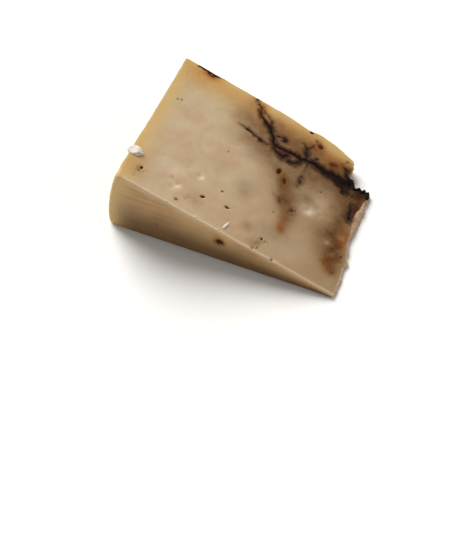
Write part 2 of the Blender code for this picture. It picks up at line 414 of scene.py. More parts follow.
# Pin holes and pits: X and Y, radius, depth, how dark
PITS = (
    (-38.4, -25.8, 0.75, 0.9, 1.0),
    (-39.9, -26.4, 0.45, 0.4, 0.6),
    (-37.2, -27.0, 0.45, 0.4, 0.5),
    (-38.9, -27.4, 0.50, 0.4, 0.6),
    (-39.4, -30.9, 0.45, 0.3, 0.4),
    (-38.7, 13.2, 0.52, 0.4, 0.85),
    (-37.3, 13.8, 0.46, 0.3, 0.75),
    (-37.4, 12.1, 0.40, 0.2, 0.50),
    (-7.0, -16.6, 0.52, 0.4, 0.95),
    (-11.7, 2.6, 0.50, 0.4, 0.6),
    (-1.4, -21.9, 0.45, 0.3, 0.3),
    (-39.0, 10.6, 0.35, 0.2, 0.3),
    (14.8, 33.0, 1.10, 0.1, 0.9),
    (14.4, -27.5, 0.70, 0.5, 0.75),
    (14.6, -29.2, 0.45, 0.4, 0.5),
    (16.0, -28.4, 0.40, 0.3, 0.4),
    (13.2, -30.4, 0.45, 0.3, 0.4),
    (14.3, -32.6, 0.50, 0.4, 0.6),
    (12.4, -33.8, 0.55, 0.4, 0.6),
    (21.2, -34.2, 0.60, 0.5, 0.8),
    (14.3, -13.2, 0.55, 0.5, 0.7),
    (20.4, -8.0, 0.80, 0.4, 0.55),
    (21.8, -7.2, 0.55, 0.3, 0.5),
    (19.6, -9.4, 0.50, 0.3, 0.45),
    (14.5, -7.2, 0.60, 0.2, 0.35),
    (-21.4, -30.8, 0.75, 0.4, 0.65),
    (-18.3, -28.6, 0.45, 0.3, 0.35),
    (-32.8, -15.3, 0.80, 0.2, 0.15),
    (28.0, 7.5, 0.60, 0.3, 0.4),
    (40.0, 13.6, 0.60, 0.4, 0.7),
    (36.2, 12.4, 0.70, 0.3, 0.5),
    (33.0, 28.6, 0.70, 0.3, 0.35),
)

# Small pin holes between them: how many, and the ranges of the same five values
PIN_HOLE_SEED = 41
PIN_HOLE_COUNT = 34
PIN_HOLE_RANGES = ((-36.0, 40.0), (-32.0, 26.0), (0.28, 0.42), (0.15, 0.3), (0.0, 0.35))

# How the dark of a pit fades: share of the dark, where it is full and where it ends, in radii
PIT_FADES = ((1.0, 0.45, 1.15),)
LONG_PIT_FADES = ((1.0, 0.45, 1.25),)
HOLE_FADES = ((0.75, 0.5, 1.1), (0.25, 0.7, 2.4))

# Long pits: X and Y, half length, half width, turn in degrees, depth, how dark
LONG_PITS = (
    (-12.9, -23.6, 1.15, 0.60, 28.0, 0.7, 1.0),
    (-2.8, -22.3, 1.20, 0.60, 12.0, 0.7, 0.95),
    (9.4, 6.5, 1.90, 1.25, 80.0, 0.5, 0.76),
    (13.0, 3.4, 1.90, 0.95, 112.0, 0.4, 0.60),
    (20.6, -8.0, 1.00, 0.60, 60.0, 0.4, 0.40),
    (18.3, 30.2, 1.20, 0.90, -40.0, 0.3, 0.40),
    (20.6, 28.6, 1.60, 1.20, -20.0, 0.4, 0.55),
    (20.9, 21.8, 1.50, 1.00, 30.0, 0.3, 0.60),
    (45.4, -16.2, 1.10, 0.45, 70.0, 0.2, 0.60),
    (-26.2, -22.6, 1.60, 0.35, -35.0, 0.4, 0.35),
    (-22.6, -14.8, 1.10, 0.45, -30.0, 0.3, 0.15),
)

# Soft dents of the cut face: X and Y, radius, depth
DENTS = (
    (-17.4, -15.6, 1.9, 0.45),
    (-23.6, -24.6, 2.4, 0.45),
    (-25.2, -26.8, 1.6, 0.35),
    (-22.4, -13.0, 4.2, 0.25),
    (-28.0, -19.0, 3.0, 0.20),
    (-10.0, -8.0, 5.5, 0.25),
    (2.3, -15.0, 5.0, 0.30),
    (7.3, -27.0, 4.0, 0.30),
    (-3.0, 4.0, 6.5, 0.25),
    (12.0, -2.0, 5.0, 0.25),
    (25.8, -4.2, 2.4, 0.50),
    (29.5, -1.0, 2.6, 0.35),
    (31.2, -3.2, 1.8, 0.35),
    (22.0, -20.0, 5.0, 0.25),
    (36.0, -12.0, 4.0, 0.35),
    (41.0, -16.5, 2.6, 0.45),
    (35.5, 3.0, 3.5, 0.30),
)

# Torn patches, where the knife has picked the paste up: X and Y, radius, height
TORN_PATCHES = (
    (-24.2, -25.4, 2.4, 0.44),
    (-21.4, -30.6, 2.0, 0.14),
    (-17.0, -15.8, 2.0, 0.18),
    (14.6, -29.0, 3.2, 0.16),
    (26.4, -4.0, 2.8, 0.26),
    (20.6, -8.2, 2.2, 0.14),
    (40.5, -14.0, 6.5, 0.26),
    (43.0, 6.0, 4.0, 0.30),
)

# Stains of the cut face: X and Y, radius along X and along Y, strength
BROWN_STAINS = (
    (18.4, 30.2, 1.6, 1.2, 0.5),
    (20.6, 28.8, 2.0, 1.6, 0.7),
    (27.4, 23.4, 1.5, 1.3, 0.60),
    (29.4, 24.2, 1.3, 1.2, 0.50),
    (33.2, 28.6, 1.4, 1.1, 0.50),
    (14.2, -5.6, 3.4, 3.4, 0.45),
    (12.6, 0.5, 3.0, 4.6, 0.40),
    (20.6, -8.2, 2.6, 2.2, 0.45),
    (25.2, 1.4, 2.6, 1.6, 0.30),
    (38.4, -8.6, 2.8, 2.6, 0.46),
    (42.5, -13.0, 3.2, 3.6, 0.42),
    (45.0, -17.0, 2.6, 4.5, 0.45),
    (40.5, -21.5, 3.0, 3.6, 0.32),
    (44.0, -25.0, 2.6, 3.0, 0.34),
    (44.0, 8.0, 3.0, 5.0, 0.72),
    (42.4, 15.4, 4.0, 3.0, 0.95),
    (35.4, 23.4, 1.8, 3.4, 0.85),
    (-21.4, -30.8, 1.6, 1.2, 0.40),
    (-17.0, -27.5, 3.0, 2.0, 0.28),
    (-38.6, -26.4, 2.4, 2.4, 0.35),
    (-31.4, 33.2, 3.0, 1.2, 0.50),
    (15.0, -28.6, 2.6, 2.6, 0.42),
    (13.0, -32.4, 2.2, 1.4, 0.30),
    (22.5, 20.5, 1.4, 1.2, 0.60),
)
RUST_STAINS = (
    (19.4, -18.4, 1.8, 2.2, 0.65),
    (18.6, -15.0, 3.0, 6.5, 0.45),
    (17.0, -6.0, 4.0, 6.0, 0.35),
    (13.0, 2.0, 4.5, 6.0, 0.30),
    (-31.4, 32.4, 4.2, 1.8, 0.60),
    (-36.0, 28.5, 10.0, 8.0, 0.36),
    (-15.0, 29.5, 15.0, 5.5, 0.34),
    (8.0, 29.0, 10.0, 4.5, 0.30),
    (29.0, 25.0, 9.0, 4.5, 0.40),
    (41.0, -14.0, 4.6, 8.0, 0.34),
    (40.4, -21.6, 2.6, 3.0, 0.55),
    (44.0, -24.4, 2.8, 2.6, 0.55),
    (42.4, -10.8, 2.2, 2.2, 0.45),
    (43.6, -17.6, 1.8, 1.8, 0.45),
    (43.0, 10.0, 3.4, 7.0, 0.30),
    (44.4, -6.5, 2.2, 4.2, 0.55),
    (40.6, -4.0, 3.4, 5.0, 0.40),
    (37.2, 10.0, 3.0, 4.0, 0.30),
    (-6.4, 29.6, 1.6, 4.0, 0.55),
    (9.4, 6.5, 2.8, 3.0, 0.50),
    (13.0, 3.4, 2.6, 2.8, 0.48),
    (-15.0, 19.8, 3.0, 2.0, 0.25),
    (20.4, 28.2, 2.6, 2.4, 0.60),
    (28.0, 23.2, 2.4, 1.8, 0.50),
)
# Pale patches: partly torn white paste, partly painted sheen
PALE_AND_SHEEN_PATCHES = (
    (26.0, -3.6, 3.4, 2.4, 0.9),
    (-24.0, -24.8, 2.2, 1.7, 1.0),
    (-28.0, -18.5, 4.5, 3.5, 0.5),
    (-16.6, -15.2, 1.6, 1.4, 0.8),
    (24.0, -24.0, 8.0, 6.0, 0.3),
    (28.0, 2.0, 6.0, 4.0, 0.3),
    (42.6, -7.6, 1.8, 1.2, 0.5),
    (43.6, -14.6, 1.4, 1.0, 0.5),
    (38.2, -13.6, 1.6, 1.2, 0.4),
    (-19.0, 14.0, 1.2, 1.0, 0.3),
)

# The field that each table of stains makes; the pale one is partly painted sheen
STAINS = {
    "shade": SHADES,
    "brown": BROWN_STAINS,
    "rust": RUST_STAINS,
    "pale": PALE_AND_SHEEN_PATCHES,
    "ochre": OCHRES,
}

# Holes in the plain cut: X and Z, half length, half width, turn in degrees, depth, how dark
PLAIN_CUT_HOLES = (
    (-0.9, 12.2, 1.7, 1.6, 0.0, 0.3, 0.3),
    (-28.0, 9.0, 0.5, 0.4, 0.0, 0.4, 0.4),
    (12.6, 6.2, 0.6, 0.4, 0.0, 0.4, 0.4),
    (-12.0, 17.0, 0.4, 0.4, 0.0, 0.3, 0.3),
)

# The dark of the largest of these holes: X, Y and Z, reach each way
PLAIN_CUT_SPOT = (-0.9, -35.0, 12.2)
PLAIN_CUT_SPOT_REACH = (1.6, 3.0, 1.5)

# Pits of the base, none of them dark: X and Y, radius, depth, how dark. They are left out where
# the base is thinner than the first thickness, and have their full depth past the second.
BASE_PITS = (
    (-30.0, 12.0, 0.9, 0.6, 0.0),
    (-22.0, -18.0, 1.2, 0.7, 0.0),
    (-4.0, 6.0, 0.8, 0.6, 0.0),
    (9.0, -21.0, 1.1, 0.7, 0.0),
)
BASE_PIT_THICKNESS = (2.0, 4.0)

# Crumbs on the cut face: name, X and Y, how far the middle is sunk, size, turn and tilt in
# degrees, how uneven it is, and a seed
CRUMBS = (
    ("rim_crumb", -43.5, -20.0, 0.25, (6.6, 4.9, 2.0), 4.0, 10.0, 0.20, 3.0),
    ("edge_sliver", -0.1, -30.5, 0.10, (4.0, 1.1, 0.8), 73.0, 19.0, 0.16, 5.0),
    ("edge_bit_left", -24.2, -34.0, 0.35, (1.1, 0.7, 0.9), 20.0, 19.0, 0.30, 7.0),
    ("edge_bit_middle", -12.1, -34.0, 0.35, (1.4, 0.7, 0.9), -15.0, 19.0, 0.30, 8.0),
    ("edge_bit_right", -2.0, -33.6, 0.35, (0.8, 0.6, 0.9), 40.0, 19.0, 0.30, 9.0),
)

# Swells across a crumb of the wide and the fine noise, and the share of the fine one
CRUMB_SWELLS, CRUMB_FINE_SWELLS, CRUMB_FINE_SHARE = 2.6, 6.5, 0.5

# Colours of the paste, its stains and the rind, as linear red, green and blue
WHITE = (1.0, 1.0, 1.0)
PASTE_PALE = (0.540, 0.428, 0.282)
PASTE_WARM = (0.510, 0.350, 0.215)
PASTE_FLECK = (0.93, 0.91, 0.88)
# Darker paste of the tip: partly older paste, partly painted shade where the light falls off
PASTE_AGED_AND_SHADED = (0.280, 0.183, 0.088)
# The plain cut's colours are partly painted shade: the face is browner than the paste, and the lower
# colour, towards its base, is painted shade
PLAIN_CUT_HIGH = (0.600, 0.375, 0.165)
PLAIN_CUT_PAINTED_SHADE = (0.170, 0.085, 0.024)
STREAK_TINT = (0.74, 0.66, 0.55)
PASTE_YELLOW = (0.610, 0.420, 0.170)
PASTE_OCHRE = (0.460, 0.245, 0.078)
# Whitish colour of the pale patches, partly torn paste and partly painted sheen
PASTE_WHITE_AND_SHEEN = (0.700, 0.580, 0.440)
# Pale line along the plain cut's top edge: partly the burr, partly a painted highlight
BURR_PALE_AND_HIGHLIGHT = (0.720, 0.560, 0.380)
BREAK_TAN = (0.400, 0.245, 0.135)
BREAK_PALE = (0.600, 0.430, 0.290)
RUST_TINT = (0.850, 0.590, 0.330)
BROWN_TINT = (0.450, 0.270, 0.130)
SHADE_TINT = (0.480, 0.350, 0.220)
HALO_TINT = (0.360, 0.235, 0.150)
INK_BROWN = (0.030, 0.013, 0.007)
INK_BLACK = (0.004, 0.003, 0.003)
HOLE_COLOUR = (0.036, 0.012, 0.003)
RIND_TAN = (0.430, 0.295, 0.140)
RIND_DARK = (0.340, 0.220, 0.100)
RIND_WORN = (0.90, 0.86, 0.81)
RIND_SPECK = (0.210, 0.130, 0.060)
CRUMB_WHITE = (0.740, 0.670, 0.600)
CRUMB_GREY = (0.560, 0.490, 0.460)
WARM_SPREAD = (1.0, 0.5, 0.25)

# Streaks of the plain cut: how much they slope, and how many there are in a metre each way
KNIFE_TILT = math.radians(12.0)
STREAK_SCALE = (22.0, 22.0, 420.0)

# How many swells of each pattern lie in a metre
PASTE_PATCHES, PASTE_FLECKS, STREAK_PATCHES = 70.0, 260.0, 60.0
SMOKE_CLOUDS, THREADS, TORN_CRUMB = 300.0, 420.0, 800.0
RIND_PATCHES, RIND_WEAR, RIND_SPECKS = 45.0, 420.0, 1100.0
SPOT_FRAY, INK_PATCHES, SHEEN_PATCHES = 900.0, 900.0, 130.0
FINE_GRAIN, COARSE_GRAIN = 1500.0, 480.0
CRUMB_PATCHES, CRUMB_GRAIN = 500.0, 2200.0
FLOOR_CLOUDS = 6.0

# Masks of the mould and the stains: field, level where it starts and where it is full, swells in
# a metre of the noise that frays it, and how much it is frayed
RUST_MASK = ("rust", 0.05, 1.00, 700.0, 0.40)
BROWN_MASK = ("brown", 0.08, 1.00, 330.0, 1.00)
TORN_MASK = ("fracture", 0.35, 0.70, 500.0, 1.00)
HALO_MASK = ("halo", 0.05, 1.00, 520.0, 0.22)
INK_EDGE_MASK = ("ink", 0.02, 0.60, 900.0, 0.26)
INK_MASK = ("ink", 0.24, 0.72, 1100.0, 0.32)
HOLE_MASK = ("hole", 0.10, 0.75, 1500.0, 0.25)

# How fully each colour covers what lies under it
COVERS = {"tip": 0.8, "plain_cut": 0.9, "ochre": 0.85, "pale": 0.7, "burr": 0.7}
FLECK_COVER, THREAD_COVER = 0.6, 0.6
TORN_COVER, HALO_COVER, RIND_COVER = 0.9, 0.9, 0.9

# Roughness of the surface and its moist sheen, strength and depth in metres of its grain, and how
# much light goes into it and how deep
RIND_ROUGHNESS, MOULD_ROUGHNESS, COAT_ROUGHNESS, FLOOR_ROUGHNESS = 0.72, 0.62, 0.42, 0.85
PASTE_COAT, PASTE_SPECULAR = 0.28, 0.04
PASTE_BUMP, PASTE_BUMP_DEPTH = 0.35, 0.00025
CRUMB_BUMP, CRUMB_BUMP_DEPTH = 0.4, 0.0002
PASTE_TRANSLUCENCE, PASTE_LIGHT_DEPTH = 0.10, 0.003
CRUMB_TRANSLUCENCE, CRUMB_LIGHT_DEPTH = 0.3, 0.002
FINE_PORES, COARSE_PORES, CRUMB_PORES = 0.5, 0.9, 0.6
PORE_SPREAD = 0.8

# Share of the fine grain, and how rough the grain is on the paste and how much more elsewhere
FINE_SHARE = 0.35
ROUGH_PASTE, ROUGH_BREAK, ROUGH_MOULD, ROUGH_RIND = 0.55, 2.0, 1.6, 1.2

# Names and places of Blender's sockets
VECTOR, FLOAT, COLOUR = "NodeSocketVector", "NodeSocketFloat", "NodeSocketColor"
MIX_FIRST_COLOUR, MIX_SECOND_COLOUR, MIX_COLOUR_OUT = 6, 7, 2

# Studio: floor, lights with their place in metres, width in degrees, strength and colour, and the
# sky's fill
FLOOR_HALF_SIZE = 4.0
FLOOR_GAP = 0.0002
FLOOR_PALE = (0.84, 0.84, 0.84)
FLOOR_PALER = (0.87, 0.87, 0.87)
LIT_POINT = (0.0, 0.0, 0.015)
LIGHTS = (
    ("key_light", (-0.46, 0.35, 0.54), 38.0, 4.1, (1.0, 0.98, 0.95)),
    ("fill_light", (0.90, 0.30, 0.33), 60.0, 0.5, (1.0, 0.98, 0.96)),
)
WORLD_COLOUR = (1.0, 0.98, 0.95)
WORLD_STRENGTH = 0.34
BACKDROP_STRENGTH = 1.05

# Camera fitted to the photo: target in metres, angles in radians, focal length in pixels
FRAME_HEIGHT = 535.0
SENSOR_WIDTH = 36.0
FOCAL_PIXELS = 1480.0
CAMERA_TARGET = ((6.2 + SHIFT_X) * MM, -36.9 * MM, 1.0 * MM)
CAMERA_DISTANCE = 0.6
CAMERA_AZIMUTH = math.radians(17.7)
CAMERA_ELEVATION = math.radians(54.9)
CAMERA_ROLL = math.radians(4.0)


def lerp(start, end, share):
    return start + (end - start) * share


def smoothstep(low, high, value):
    share = np.clip((value - low) / (high - low), 0.0, 1.0)
    return share * share * (3.0 - 2.0 * share)


def ripple(points, size, seed):
    """Smooth noise of about -1 to 1 at each point, with swells of the given size."""
    offset = seed * np.array(SEED_STEPS)
    places = np.asarray(points) / np.asarray(size) + offset
    return np.array([noise.noise(place) for place in places.tolist()])


def relief(points, layers):
    """Sum of smooth noises, each with its height, the size of its swells and its seed."""
    return sum(height * ripple(points, size, seed) for height, size, seed in layers)


def bell(distance, reach, power=2):
    """A smooth hump, 1 at no distance and close to 0 past twice the reach."""
    return np.exp(-(distance / reach) ** power)


def nearness(depth, reach):
    """1 at no depth, falling evenly to 0 at the reach."""
    return np.clip(1.0 - depth / reach, 0.0, 1.0)


def stations(length, coarse_end, coarse_step, fine_step):
    """Shares of a length: close to each end for the rounded edges, then wide and close steps."""
    marks = list(EDGE_STEPS)
    coarse_count = round((coarse_end - marks[-1]) / coarse_step)
    fine_end = length - EDGE_STEPS[-1]
    fine_count = round((fine_end - coarse_end) / fine_step)
    marks += list(np.linspace(marks[-1], coarse_end, coarse_count + 1)[1:])
    marks += list(np.linspace(coarse_end, fine_end, fine_count + 1)[1:])
    marks += [length - step for step in reversed(EDGE_STEPS[:-1])]
    return np.array(marks) / length


def box_of_cells(counts):
    """A closed box of two units a side, its faces cut into the given numbers of cells."""
    bm = bmesh.new()
    bmesh.ops.create_cube(bm, size=2.0)
    for axis, count in enumerate(counts):
        edges = [e for e in bm.edges if abs(e.verts[0].co[axis] - e.verts[1].co[axis]) > 1.0]
        bmesh.ops.subdivide_edges(bm, edges=edges, cuts=count - 1, use_grid_fill=True)
    return bm


class WedgeSurface:
    """Every point of the wedge's skin: its place, and its depth under each face in millimetres.

    How near it lies to each face is 1 on that face, and falls to 0 at SURFACE_REACH below it.
    """

    def __init__(self, co, along_marks, across_marks):
        cells = (len(along_marks) - 1, len(across_marks) - 1, UP_LAYERS)
        along_mark, across_mark, layer = np.rint((co + 1.0) / 2.0 * cells).astype(int).T
        along, across = along_marks[along_mark], across_marks[across_mark]
        gap = break_edge(across)[0]
        length = WHEEL_RADIUS - gap
        thickness = lerp(WHEEL_RADIUS, gap, along) * WEDGE_ANGLE
        up = layer_share(layer, thickness)
        sizes = np.stack((length, np.full_like(length, WHEEL_HEIGHT), thickness), axis=1)
        rounded = round_edges(np.stack((along, across, up), axis=1) * sizes, sizes)
        self.places = wedge_places(*(rounded / sizes).T)
        self.thickness = thickness
        self.from_rim, self.from_plain, self.above_base = rounded.T
        self.from_break = length - self.from_rim
        self.from_rind = WHEEL_HEIGHT - self.from_plain
        self.below_top = thickness - self.above_base
        self.near_top = nearness(self.below_top, np.minimum(SURFACE_REACH, thickness))
        self.near_base = nearness(self.above_base, np.minimum(SURFACE_REACH, thickness))
        self.near_plain = nearness(self.from_plain, SURFACE_REACH)
        self.near_rind = nearness(self.from_rind, SURFACE_REACH)
        self.near_rim = nearness(self.from_rim, SURFACE_REACH)
        self.near_break = nearness(self.from_break, SURFACE_REACH)


def round_edges(flat, sizes):
    """Places in boxes of the given sizes, pulled in so that the edges are round."""
    near_corner = smoothstep(CORNER_SPAN, 0.0, flat[:, 0]) * smoothstep(CORNER_SPAN, 0.0, flat[:, 1])
    radius = lerp(EDGE_ROUND, CORNER_ROUND, near_corner)
    radius = np.minimum(radius, ROUND_SHARE * sizes[:, 2])[:, None]
    inner = np.clip(flat, radius, sizes - radius)
    out = flat - inner
    size = np.linalg.norm(out, axis=1, keepdims=True)
    return inner + out / np.maximum(size, TINY) * radius


def break_edge(across):
    """Gap to the wheel's axis and Y of the broken edge, at shares of the wheel's height."""
    shares, gaps, heights = np.array(BREAK_OUTLINE).T
    return np.interp(across, shares, gaps), np.interp(across, shares, heights)


def layer_share(layer, thickness):
    """Share of the thickness at a layer, with the outer layers close to the two cut faces."""
    last = len(EDGE_STEPS) - 1
    mirrored = UP_LAYERS - layer

    def from_face(number):
        depth = np.interp(number, range(last + 1), EDGE_STEPS)
        return np.minimum(depth / thickness, number * LAYER_SHARE)

    middle = lerp(from_face(last), 1.0 - from_face(last), (layer - last) / (UP_LAYERS - 2 * last))
    upper = np.where(mirrored <= last, 1.0 - from_face(mirrored), middle)
    return np.where(layer <= last, from_face(layer), upper)


def wedge_places(along, across, up):
    """Places in millimetres by shares from rim to break, plain cut to rind and base to top."""
    gap, edge_y = break_edge(across)
    low, high = BREAK_SLOPE_SPAN
    middle = (low + high) / 2.0
    slope = smoothstep(low, middle, across) * (1.0 - smoothstep(middle, high, across))
    gap = gap + BREAK_SLOPE * slope * up
    y = lerp(across * WHEEL_HEIGHT, edge_y, smoothstep(BREAK_BLEND_START, 1.0, along))
    flare = RIM_FLARE * (1.0 - across) ** RIM_FLARE_POWER * lerp(BASE_FLARE_SHARE, 1.0, up)
    reach = lerp(WHEEL_RADIUS + flare, gap, along)
    angle = WEDGE_ANGLE * up
    x = WEDGE_MIDDLE - reach * np.cos(angle)
    return np.stack((x, y - WHEEL_HEIGHT / 2.0, reach * np.sin(angle)), axis=1)


def distance_to_line(x, y, points):
    """Distance to a line of points, and the points' further values at its nearest place."""
    points = np.array(points, float)
    best = np.full(len(x), np.inf)
    further = np.zeros((len(x), points.shape[1] - 2))
    for start, end in zip(points, points[1:]):
        run = end[:2] - start[:2]
        share = ((x - start[0]) * run[0] + (y - start[1]) * run[1]) / (run @ run)
        share = np.clip(share, 0.0, 1.0)
        distance = np.hypot(x - start[0] - run[0] * share, y - start[1] - run[1] * share)
        nearer = distance < best
        best = np.where(nearer, distance, best)
        further = np.where(nearer[:, None], lerp(start[2:], end[2:], share[:, None]), further)
    return best, further.T


def blobs(x, y, spots):
    """Soft round or oval spots, each with its own strength, that build up where they meet."""
    clear = np.ones(len(x))
    for spot_x, spot_y, reach_x, reach_y, strength in spots:
        spread = ((x - spot_x) / reach_x) ** 2 + ((y - spot_y) / reach_y) ** 2
        clear *= 1.0 - strength * np.exp(-spread)
    return 1.0 - clear


def round_pits(pits):
    """Rows of round pits in the form of the long ones."""
    return [(x, y, radius, radius, 0.0, deep, dark) for x, y, radius, deep, dark in pits]


def pin_holes():
    """Seeded pin holes in the form of the named pits, none of them close to the rim or the rind."""
    chance = random.Random(PIN_HOLE_SEED)
    rows = range(PIN_HOLE_COUNT)
    return tuple(tuple(chance.uniform(*span) for span in PIN_HOLE_RANGES) for _ in rows)


def pits_at(x, y, pits, fades):
    """Depth and darkness of long pits, each turned its own way and its dark fading outwards."""
    depth = np.zeros(len(x))
    dark = np.zeros(len(x))
    for pit_x, pit_y, half_length, half_width, turn, deep, shade in pits:
        cos_turn, sin_turn = math.cos(math.radians(turn)), math.sin(math.radians(turn))
        along = ((x - pit_x) * cos_turn + (y - pit_y) * sin_turn) / half_length
        across = ((y - pit_y) * cos_turn - (x - pit_x) * sin_turn) / half_width
        distance = np.hypot(along, across)
        faded = sum(share * smoothstep(end, start, distance) for share, start, end in fades)
        depth = np.maximum(depth, deep * np.clip(1.0 - distance ** 2, 0.0, 1.0))
        dark = np.maximum(dark, shade * faded)
    return depth, dark


def top_pits(x, y, flat):
    """Depth and darkness of all pits of the upper cut face, their outlines a little uneven."""
    bent_x = x + relief(flat, PIT_SWAY_X)
    bent_y = y + relief(flat, PIT_SWAY_Y)
    round_depth, round_dark = pits_at(bent_x, bent_y, round_pits(PITS + pin_holes()), PIT_FADES)
    long_depth, long_dark = pits_at(bent_x, bent_y, LONG_PITS, LONG_PIT_FADES)
    return np.maximum(round_depth, long_depth), np.maximum(round_dark, long_dark)


def vein_fields(x, y, flat):
    """Depth of the cracks, the black of the veins and the stain round them, at each point."""
    bent_x = x + relief(flat, VEIN_SWAY_X)
    bent_y = y + relief(flat, VEIN_SWAY_Y)
    uneven = 1.0 + relief(flat, VEIN_UNEVEN)
    depth = np.zeros(len(x))
    ink = np.zeros(len(x))
    halo = np.zeros(len(x))
    for points, strength, stain in VEINS:
        distance, (half_width, deep) = distance_to_line(bent_x, bent_y, points)
        half_width = half_width * uneven
        groove = nearness(distance, half_width + CRACK_SHOULDER)
        body = lerp(THIN_VEIN_BLACK, 1.0, smoothstep(*VEIN_BLACK_WIDTHS, half_width))
        halo_reach = HALO_BASE + HALO_GROWTH * np.minimum(half_width, HALO_WIDEST)
        depth = np.maximum(depth, CRACK_SHARE * deep * groove)
        ink = np.maximum(ink, strength * body * bell(distance, half_width * INK_SPREAD, 3))
        halo = np.maximum(halo, stain * body * bell(distance, halo_reach))
    return depth, ink, halo


def crag_fields(x, y):
    """Black of the mould-eaten crag and of the vein's mouth, the stain and the teeth round them."""
    distance, (reach,) = distance_to_line(x, y, CRAG)
    mouth_x, mouth_y, mouth_reach, mouth_black = NOTCH_MOUTH
    mouth = np.hypot(x - mouth_x, y - mouth_y)
    eaten = np.maximum(bell(distance, reach), mouth_black * bell(mouth, mouth_reach))
    return eaten, bell(distance, reach + CRAG_HALO_REACH), bell(distance, TOOTH_REACH)


def dents_at(x, y):
    """Depth of the soft dents of the upper cut face."""
    depth = np.zeros(len(x))
    for dent_x, dent_y, radius, deep in DENTS:
        spread = ((x - dent_x) ** 2 + (y - dent_y) ** 2) / radius ** 2
        depth += deep * np.clip(1.0 - spread, 0.0, 1.0) ** 2
    return depth


def edge_bites(y):
    """Depth of the bites out of the broken edge at each Y."""
    depth = np.zeros(len(y))
    for bite_y, reach, deep in BREAK_BITES:
        depth += deep * bell(y - bite_y, reach)
    return depth


def edge_bulge(x):
    """How far the far edge swells outwards at each X."""
    start, full, fall, end, size = EDGE_BULGE
    return size * smoothstep(start, full, x) * smoothstep(end, fall, x)


def top_relief(surface, flat, cut_in, eaten):
    """How far the upper cut face lies in: its cracks and pits, swells, tears, dents and burr."""
    x, y, _ = surface.places.T
    torn = blobs(x, y, [(px, py, r, r, height) for px, py, r, height in TORN_PATCHES])
    burr = bell(surface.from_plain - BURR_WIDTH, BURR_WIDTH) * (BURR_HEIGHT + relief(flat, BURR_LUMPS))
    depth = cut_in + dents_at(x, y) + TOP_SINK + relief(flat, TOP_SWELLS) - burr
    depth += torn * relief(flat, TORN_LUMPS) + eaten * (CRAG_SINK + relief(flat, CRAG_LUMPS))
    depth = np.minimum(depth, DEEPEST_SHARE * surface.thickness)
    return depth * surface.near_top / math.cos(WEDGE_ANGLE)


def base_relief(surface):
    """How far the pits of the base lie in, with none where the tip is thin."""
    x, y, _ = surface.places.T
    depth, _ = pits_at(x, y, round_pits(BASE_PITS), PIT_FADES)
    return depth * surface.near_base * smoothstep(*BASE_PIT_THICKNESS, surface.thickness)


def rind_wrinkles(surface):
    """How far the wrinkled rind lies in, on the rim and on the flat rind."""
    wrinkles = np.maximum(WRINKLE_SINK + relief(surface.places, RIND_WRINKLES), 0.0)
    return wrinkles + RIND_SINK + relief(surface.places, RIND_SWELLS)


def break_relief(surface, eaten):
    """How far the broken tip lies in: it is crumbled, roughest in the crag, with bites."""
    depth = BREAK_SINK + relief(surface.places, BREAK_CRUMBLE)
    depth += eaten * relief(surface.places, CRAG_CRUMBLE)
    depth += edge_bites(surface.places[:, 1])
    return depth * surface.near_break * smoothstep(*BREAK_SOFTENING, surface.near_break)


def crag_teeth(surface, eaten, toothed):
    """How far the crag is cut back along Y, between its teeth and where it is frayed."""
    cut = TOOTH_DEPTH * np.abs(ripple(surface.places, TOOTH_SIZE, TOOTH_SEED)) - TOOTH_RISE
    return toothed * cut + eaten * surface.near_break * relief(surface.places, CRAG_FRAY)


def yellow_by_rind(surface):
    """How yellow the paste is by the rim and the rind, in a band that widens towards the rim."""
    narrow, wide = YELLOW_REACH
    rind_reach = lerp(narrow, wide, smoothstep(*YELLOW_WIDENS, surface.places[:, 0]))
    by_rim = np.exp(-surface.from_rim / narrow)
    return np.maximum(by_rim, np.exp(-surface.from_rind / rind_reach))


def torn_by_break(surface):
    """Where the paste is freshly torn: by the break, widest in the strip and less in the notch, whose
    wall keeps the darker paste as painted shade.
    """
    y = surface.places[:, 1]
    strip_y, strip_reach, strip_width = FRACTURE_STRIP
    notch_y, notch_reach, notch_shade = NOTCH_WALL_SHADE
    width = FRACTURE_WIDTH + strip_width * bell(y - strip_y, strip_reach)
    outer, inner = FRACTURE_FADE
    # Painted shade in the notch: the pale torn colour fades out there
    clear = 1.0 - notch_shade * bell(y - notch_y, notch_reach)
    return smoothstep(outer * width, inner * width, surface.from_break) * clear


